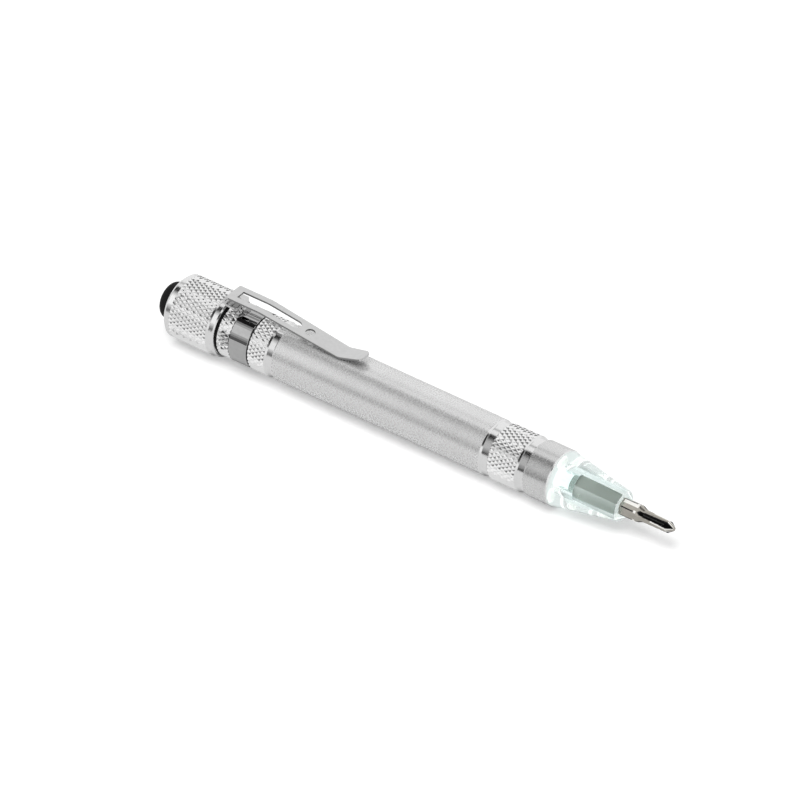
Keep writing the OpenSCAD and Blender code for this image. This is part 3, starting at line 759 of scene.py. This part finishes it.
def make_bit():
    """Close rings on the blade and the taper, a few along the shank, and a finish to each face."""
    front = BIT_OUTLINE[-1][0]
    rear = BIT_OUTLINE[0][0]
    rows = round((front - SHANK_END) / BIT_STEP) + SHANK_ROWS
    stations = [front - BIT_STEP * i for i in range(rows)] + [HIGHLIGHT_START, 0.0, BIT_OUTLINE[1][0], rear]
    steps = [(station, bit_radius(station), STEEL) for station in stations]
    bm = bmesh.new()
    add_rings(bm, [(front, 0, STEEL), *steps, (rear, 0, STEEL)], BIT_SIDES)
    for face in bm.faces:
        middle = face.calc_center_median()
        face.material_index = bit_slot((middle.x - NOSE_X) / MM, math.atan2(middle.y, middle.z - AXIS_Z))
    return finish_mesh("bit_blade", bm, [steel, flute_steel, painted_highlight_steel, painted_shade_and_flute_grey], sharp_angle=20.0)


bit_blade = make_bit()
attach(bit_blade, "bit")
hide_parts("screwdriver_bit")

# Switch spring: a coil between the plunger and the housing's front wall
COIL_WIRE = 0.3
COIL_TURNS = 3
COIL_STEPS = 36
COIL_SIDES = 10


def make_coil(name, low, high, material):
    """A coil along the pen that fills a box."""
    wire = COIL_WIRE * MM / 2
    radius = (high.y - low.y) / 2 - wire
    travel = high.x - low.x - 2 * wire
    along = Vector((1, 0, 0))
    count = COIL_TURNS * COIL_STEPS
    around = [TURN * j / COIL_SIDES for j in range(COIL_SIDES)]
    bm = bmesh.new()
    rings = []
    for i in range(count + 1):
        angle = TURN * i / COIL_STEPS
        outward = Vector((0, math.sin(angle), math.cos(angle)))
        middle = Vector((low.x + wire + travel * i / count, 0, AXIS_Z)) + radius * outward
        ways = [math.cos(a) * outward + math.sin(a) * along for a in around]
        rings.append([bm.verts.new(middle + wire * way) for way in ways])
    for ring, other in zip(rings, rings[1:]):
        skin(bm, ring, other, 0)
    bm.faces.new(rings[0])
    bm.faces.new(reversed(rings[-1]))
    return finish_mesh(name, bm, [material], sharp_angle=50.0)


coil_low, coil_high = (Vector(corner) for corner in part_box("switch_spring"))
switch_coil = make_coil("switch_coil", coil_low, coil_high, spring_steel)
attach(switch_coil, "tail_cap")
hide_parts("switch_spring")
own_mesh(switch_coil)

# Clip: one folded sheet, from the band up the neck, round the bend and along the arm
SHEET = 0.5
BAND_MID_R = 6.7
NECK_X = -108.65
NECK_TOP = 8.2
NECK_FOLD_R = 0.6
BEND = (-112.15, 9.3)
BEND_R = 1.1
BEND_LEAD = 0.05
FALL_START = (-102.9, 10.4)
TOUCH = (-80.1, 7.35)
TIP = (-73.7, 9.15)
ARM_FOLD_RADII = (14, 4)


def rounded_path(points, radii, steps=10):
    """A path with each inner corner replaced by a round of its radius."""
    path = [Vector(points[0])]
    for before, corner, after, radius in zip(points, points[1:], points[2:], radii):
        here = Vector(corner)
        back = (Vector(before) - here).normalized()
        ahead = (Vector(after) - here).normalized()
        reach = radius / math.tan(back.angle(ahead) / 2)
        start = here + back * reach
        end = here + ahead * reach
        for i in range(steps + 1):
            t = i / steps
            path.append(start * (1 - t) ** 2 + here * 2 * t * (1 - t) + end * t ** 2)
    path.append(Vector(points[-1]))
    return path


def bend_points(steps=20):
    """The half circle at the clip's rear, from the neck up to the arm."""
    angles = [math.radians(270 - 180 * i / steps) for i in range(steps + 1)]
    return [Vector((BEND[0] + BEND_R * math.cos(a), BEND[1] + BEND_R * math.sin(a))) for a in angles]


class Track:
    """A path measured by its length."""

    def __init__(self, points):
        self.points = points
        self.lengths = [0.0]
        for a, b in zip(points, points[1:]):
            self.lengths.append(self.lengths[-1] + (b - a).length)

    def point(self, length):
        """The point at a length along the path."""
        i = 0
        while i < len(self.points) - 2 and self.lengths[i + 1] < length:
            i += 1
        share = (length - self.lengths[i]) / (self.lengths[i + 1] - self.lengths[i])
        return self.points[i].lerp(self.points[i + 1], share)

    def normal(self, length, reach=0.12):
        """The direction square to the path at a length."""
        a = self.point(max(0, length - reach))
        b = self.point(min(self.lengths[-1], length + reach))
        along = (b - a).normalized()
        return Vector((-along.y, along.x))

    def length_at(self, station):
        """The length at which the path passes a station, looking back from its end."""
        for i in range(len(self.points) - 1, 0, -1):
            a, b = self.points[i - 1], self.points[i]
            if min(a.x, b.x) <= station <= max(a.x, b.x):
                return self.lengths[i - 1] + (station - a.x) / (b.x - a.x) * (b - a).length
        return 0.0


neck_end = (BEND[0] + BEND_LEAD, NECK_TOP)
arm_start = (BEND[0] + BEND_LEAD, BEND[1] + BEND_R)
neck = rounded_path([(NECK_X, BAND_MID_R), (NECK_X, NECK_TOP), neck_end], (NECK_FOLD_R,))
arm = rounded_path([arm_start, FALL_START, TOUCH, TIP], ARM_FOLD_RADII)
track = Track(neck + bend_points()[1:] + arm[1:])

# Lengths and half widths of the clip laid flat
CLIP_END = track.lengths[-1]
NECK_RISE = track.lengths[len(neck) - 2] - 0.25
NECK_WIDE = NECK_RISE + 1.2
NECK_HALF = 1.3
ARM_HALF = 2.8
TOUCH_HALF = 2.35
WIDTHS = [
    (0, NECK_HALF),
    (NECK_RISE, NECK_HALF),
    (NECK_WIDE, ARM_HALF),
    (track.length_at(FALL_START[0]), ARM_HALF),
    (track.length_at(TOUCH[0]), TOUCH_HALF),
]
TIP_HALF = 2.1
TIP_ROUND = 1.4
TIP_STEPS = 8
SLOT_HALF = 1.3
SLOT_FROM = track.length_at(-110.55)
SLOT_TO = track.length_at(-92.75)
SLOT_STEPS = 12
HOLE_AT = track.length_at(-89.95)
HOLE_R = 1.2
HOLE_STEPS = 24
CHROME, EDGE_SHADE, BAND = 0, 1, 2
# The edge walls are painted shade from the bend to near the tip
EDGE_SHADE_FROM = track.length_at(BEND[0]) - 0.1
EDGE_SHADE_TO = CLIP_END - TIP_ROUND / 2
CUT_MERGE = 1e-5


def circle(centre, radius, start, end, steps):
    """Points round part of a circle on the flat sheet."""
    angles = [start + (end - start) * i / steps for i in range(steps + 1)]
    return [(centre[0] + radius * math.cos(a), centre[1] + radius * math.sin(a)) for a in angles]


def clip_outlines():
    """The clip laid flat: its edge, its slot and its small hole, as (length, side) points."""
    side = list(WIDTHS)
    side += circle((CLIP_END - TIP_ROUND, TIP_HALF - TIP_ROUND), TIP_ROUND, QUARTER, 0, TIP_STEPS)
    edge = side + [(u, -v) for u, v in reversed(side)]
    slot = circle((SLOT_TO - SLOT_HALF, 0), SLOT_HALF, -QUARTER, QUARTER, SLOT_STEPS)
    slot += [(SLOT_FROM, SLOT_HALF), (SLOT_FROM, -SLOT_HALF)]
    hole = circle((HOLE_AT, 0), HOLE_R, 0, TURN, HOLE_STEPS)[:-1]
    return edge, slot, hole


def smooth_share(value, start, end):
    """How far a value is from start to end, eased at both."""
    t = min(1, max(0, (value - start) / (end - start)))
    return t * t * (3 - 2 * t)


def folded(u, v, side):
    """Where a point of the flat sheet lies on the folded clip, on one face of the sheet."""
    sag = BAND_MID_R - math.sqrt(BAND_MID_R ** 2 - v * v)
    sag *= 1 - smooth_share(u, 0, NECK_RISE)
    point = track.point(u) + track.normal(u) * side * SHEET / 2
    return at(point.x, v, point.y - sag)


def add_clip_sheet(bm):
    """The sheet cut out flat, sliced where the path bends, and folded into two faces with walls between."""
    flat = bmesh.new()
    edges = []
    for outline in clip_outlines():
        verts = [flat.verts.new((u, v, 0)) for u, v in outline]
        edges += [flat.edges.new((a, b)) for a, b in zip(verts, verts[1:] + verts[:1])]
    bmesh.ops.triangle_fill(flat, use_beauty=True, use_dissolve=False, edges=edges)
    for u in track.lengths[1:-1]:
        geometry = flat.verts[:] + flat.edges[:] + flat.faces[:]
        bmesh.ops.bisect_plane(flat, geom=geometry, dist=CUT_MERGE, plane_co=(u, 0, 0), plane_no=(1, 0, 0))
    outer = {v: bm.verts.new(folded(v.co.x, v.co.y, 1)) for v in flat.verts}
    inner = {v: bm.verts.new(folded(v.co.x, v.co.y, -1)) for v in flat.verts}
    for face in flat.faces:
        bm.faces.new([outer[v] for v in face.verts])
        bm.faces.new([inner[v] for v in reversed(face.verts)])
    for edge in flat.edges:
        if len(edge.link_faces) == 1:
            a, b = edge.verts
            wall = bm.faces.new((outer[a], outer[b], inner[b], inner[a]))
            # Painted shade on the edge walls between the bend and the tip's round, chrome elsewhere
            wall.material_index = EDGE_SHADE if EDGE_SHADE_FROM < min(a.co.x, b.co.x) < EDGE_SHADE_TO else CHROME
    flat.free()


BAND_REAR = -109.0
BAND_FRONT = -103.75
BAND_OUT = 6.95
BAND_IN = 6.45
BAND_SPLIT = 1.5
BAND_STEPS = 120
BAND_ROUND = 0.08


def add_band(bm):
    """The band round the barrel, split at the bottom, with its edges broken."""
    r = BAND_ROUND
    section = [
        (BAND_FRONT - r, BAND_OUT),
        (BAND_REAR + r, BAND_OUT),
        (BAND_REAR, BAND_OUT - r),
        (BAND_REAR, BAND_IN + r),
        (BAND_REAR + r, BAND_IN),
        (BAND_FRONT - r, BAND_IN),
        (BAND_FRONT, BAND_IN + r),
        (BAND_FRONT, BAND_OUT - r),
    ]
    half_split = math.asin(BAND_SPLIT / 2 / BAND_OUT)
    start = math.pi + half_split
    sweep = TURN - 2 * half_split
    rings = []
    for i in range(BAND_STEPS + 1):
        angle = start + sweep * i / BAND_STEPS
        rings.append([bm.verts.new(on_circle(station, radius, angle)) for station, radius in section])
    for ring, other in zip(rings, rings[1:]):
        skin(bm, ring, other, BAND)
    bm.faces.new(rings[0]).material_index = BAND
    bm.faces.new(reversed(rings[-1])).material_index = BAND


def make_clip():
    bm = bmesh.new()
    add_clip_sheet(bm)
    add_band(bm)
    for face in bm.faces:
        face.smooth = True
    return finish_mesh("clip_sheet", bm, [chrome, painted_edge_shade, band_painted_shade_chrome], sharp_angle=35.0)


def apply_bevel(piece, width, angle):
    """Rounds a piece's sharp edges and keeps the result as its mesh."""
    bevel = piece.modifiers.new("edge_round", "BEVEL")
    bevel.width = width * MM
    bevel.segments = 2
    bevel.limit_method = "ANGLE"
    bevel.angle_limit = math.radians(angle)
    bevel.use_clamp_overlap = True
    graph = bpy.context.evaluated_depsgraph_get()
    mesh = bpy.data.meshes.new_from_object(piece.evaluated_get(graph))
    piece.modifiers.clear()
    piece.data = mesh


clip_sheet = make_clip()
apply_bevel(clip_sheet, width=0.07, angle=40)
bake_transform(clip_sheet)
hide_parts("clip_band", "clip_arm")

# Stage: a white floor under the cap and the head ring, cards that only reflections show, and soft light
WHITE = (1, 1, 1, 1)
FLOOR_HALF = 6.0
FLOOR_PAINT = 0.78
FLOOR_GLOW = 0.34
cap_foot = at(CAP_KNURL_FRONT, 0, -CAP_R)
head_foot = at(HEAD_LAND, 0, -BARREL_R)
floor_slope = (head_foot.z - cap_foot.z) / (head_foot.x - cap_foot.x)


def seen_rays(tree, *kinds):
    """One for camera rays and rays of the kinds given, and nought for the rest."""
    path = tree.nodes.new("ShaderNodeLightPath")
    total = path.outputs["Is Camera Ray"]
    for kind in kinds:
        total = combine(tree, "MAXIMUM", total, path.outputs[kind])
    return total


def white_glow(tree, strength):
    """White light with the strength of a socket."""
    glow = tree.nodes.new("ShaderNodeEmission")
    glow.inputs["Color"].default_value = WHITE
    tree.links.new(strength, glow.inputs["Strength"])
    return glow.outputs["Emission"]


def add_sheet(name, corners, material):
    """A flat sheet between four corners."""
    mesh = bpy.data.meshes.new(name)
    mesh.from_pydata([tuple(corner) for corner in corners], [], [(0, 1, 2, 3)])
    mesh.materials.append(material)
    return add_object(name, mesh)


def floor_corner(x, y):
    return (x, y, cap_foot.z + (x - cap_foot.x) * floor_slope)


def make_floor():
    """White paint that also glows for the rays that see it, so that it reads as plain white."""
    material, tree, surface_socket = bare_material("floor_white")
    paint = tree.nodes.new("ShaderNodeBsdfDiffuse")
    paint.inputs["Color"].default_value = (*grey(FLOOR_PAINT), 1)
    strength = combine(tree, "MULTIPLY", seen_rays(tree, "Is Transmission Ray"), FLOOR_GLOW)
    both = tree.nodes.new("ShaderNodeAddShader")
    tree.links.new(paint.outputs["BSDF"], both.inputs[0])
    tree.links.new(white_glow(tree, strength), both.inputs[1])
    tree.links.new(both.outputs["Shader"], surface_socket)
    sides = ((-1, -1), (1, -1), (1, 1), (-1, 1))
    return add_sheet("floor", [floor_corner(x * FLOOR_HALF, y * FLOOR_HALF) for x, y in sides], material)


floor = make_floor()


def make_card(name, corners, shades, ends=(-1, 1)):
    """A card that only reflections show, whose shade changes along X between two ends."""
    material, tree, surface_socket = bare_material(name)
    place = tree.nodes.new("ShaderNodeTexCoord")
    parts = tree.nodes.new("ShaderNodeSeparateXYZ")
    tree.links.new(place.outputs["Object"], parts.inputs["Vector"])
    shade = span(tree, parts.outputs["X"], *shades, *ends)
    tree.links.new(white_glow(tree, shade), surface_socket)
    card = add_sheet(name, corners, material)
    card.visible_camera = False
    card.visible_diffuse = False
    card.visible_shadow = False
    card.visible_transmission = False


AXIS_LEAN = 0.545
TAIL_END = -130.0
NOSE_END = -20.0
STRIP_REACH = 0.35


def strip_corner(station, rise):
    """Where light that the pen reflects to the camera at a station comes from, at an angle of rise."""
    angle = math.radians(rise)
    return at(station, 0, 0) + STRIP_REACH * Vector((-AXIS_LEAN, -math.cos(angle), math.sin(angle)))


def make_strip(name, tail_rises, nose_rises, shades):
    """A card along the pen between two angles of rise, drawn out past each end by its own length."""
    low_tail, high_tail = (strip_corner(TAIL_END, rise) for rise in tail_rises)
    low_nose, high_nose = (strip_corner(NOSE_END, rise) for rise in nose_rises)
    low = low_nose - low_tail
    high = high_nose - high_tail
    corners = [low_tail - low, low_nose + low, high_nose + high, high_tail - high]
    make_card(name, corners, shades, (low_tail.x, low_nose.x))


# Each strip's name, its two rises at the tail and at the nose, and its shades at the tail and at the nose
STRIPS = [
    ("horizon_card", (-1.2, 11), (-1.2, 10), (0.2, 0.05)),
    ("low_card", (11, 18), (10, 17), (0.45, 0.3)),
    ("rising_card", (18, 26), (17, 24), (0.75, 0.35)),
    ("side_card", (26, 60), (24, 50), (1.22, 0.48)),
    ("fade_card", (60, 68), (50, 60), (0.8, 0.4)),
    ("dusk_card", (68, 75), (60, 68), (0.4, 0.18)),
    ("overhead_card", (75, 94), (68, 86), (0.02, 0.02)),
    ("far_card", (108, 117), (108, 117), (0.5, 0.5)),
]
for strip in STRIPS:
    make_strip(*strip)


def end_corner(turn, rise, reach):
    """A point beyond an end of the pen, turned from +X and raised, both in degrees."""
    turn = math.radians(turn)
    rise = math.radians(rise)
    level = math.cos(rise)
    return reach * Vector((level * math.cos(turn), level * math.sin(turn), math.sin(rise)))


def make_end_card(name, turns, rises, reach, shade):
    """A card beyond an end of the pen, between two turns and two rises."""
    places = ((turns[0], rises[0]), (turns[1], rises[0]), (turns[1], rises[1]), (turns[0], rises[1]))
    make_card(name, [end_corner(turn, rise, reach) for turn, rise in places], (shade, shade))


make_end_card("front_card", (-52, -6), (20, 57), reach=3.0, shade=0.02)
make_end_card("tail_card", (172, 208), (8, 36), reach=0.6, shade=0.2)

ZENITH_X = (-0.12, 0.2)
ZENITH_Y = (0.1, 0.55)
ZENITH_Z = 0.6
ZENITH_SHADE = 0.17
zenith_places = ((0, 0), (1, 0), (1, 1), (0, 1))
zenith_corners = [(ZENITH_X[i], ZENITH_Y[j], ZENITH_Z) for i, j in zenith_places]
make_card("zenith_card", zenith_corners, (ZENITH_SHADE, ZENITH_SHADE))

# A soft lamp above, a little to the viewer's side, which reflections don't show
LAMP_FROM = Vector((0, -0.34, 0.94))
LAMP_ANGLE = math.radians(38)
LAMP_ENERGY = 1.86
lamp_data = bpy.data.lights.new("lamp", "SUN")
lamp_data.angle = LAMP_ANGLE
lamp_data.energy = LAMP_ENERGY
lamp = add_object("lamp", lamp_data)
lamp.rotation_euler = LAMP_FROM.to_track_quat("Z", "Y").to_euler()
lamp.visible_glossy = False
lamp.visible_transmission = False

# A dome that lights softly, and is plain white where it is seen or reflected
DOME_LIGHT = 0.5
DOME_SEEN = 1.0
world = bpy.data.worlds.new("studio")
bpy.context.scene.world = world
world.use_nodes = True
world_tree = world.node_tree
world_tree.nodes.clear()
choose = world_tree.nodes.new("ShaderNodeMixShader")
seen = seen_rays(world_tree, "Is Glossy Ray", "Is Transmission Ray")
world_tree.links.new(seen, choose.inputs["Fac"])
for socket, dome_strength in zip(choose.inputs[1:], (DOME_LIGHT, DOME_SEEN)):
    dome = world_tree.nodes.new("ShaderNodeBackground")
    dome.inputs["Color"].default_value = WHITE
    dome.inputs["Strength"].default_value = dome_strength
    world_tree.links.new(dome.outputs["Background"], socket)
world_output = world_tree.nodes.new("ShaderNodeOutputWorld")
world_tree.links.new(choose.outputs["Shader"], world_output.inputs["Surface"])

# Camera
AZIMUTH = math.radians(37.0)
ELEVATION = math.radians(37.4)
DISTANCE = 1.8
LENS = 349.9
SENSOR = 36.0
AIM = at(-63.85, 0, 1.1)
level = math.cos(ELEVATION)
back = Vector((math.sin(AZIMUTH) * level, -math.cos(AZIMUTH) * level, math.sin(ELEVATION)))
camera_data = bpy.data.cameras.new("camera")
camera_data.lens = LENS
camera_data.sensor_width = SENSOR
camera = add_object("camera", camera_data)
camera.location = AIM + back * DISTANCE
camera.rotation_euler = back.to_track_quat("Z", "Y").to_euler()
bpy.context.scene.camera = camera

bpy.context.scene.view_settings.view_transform = "Standard"
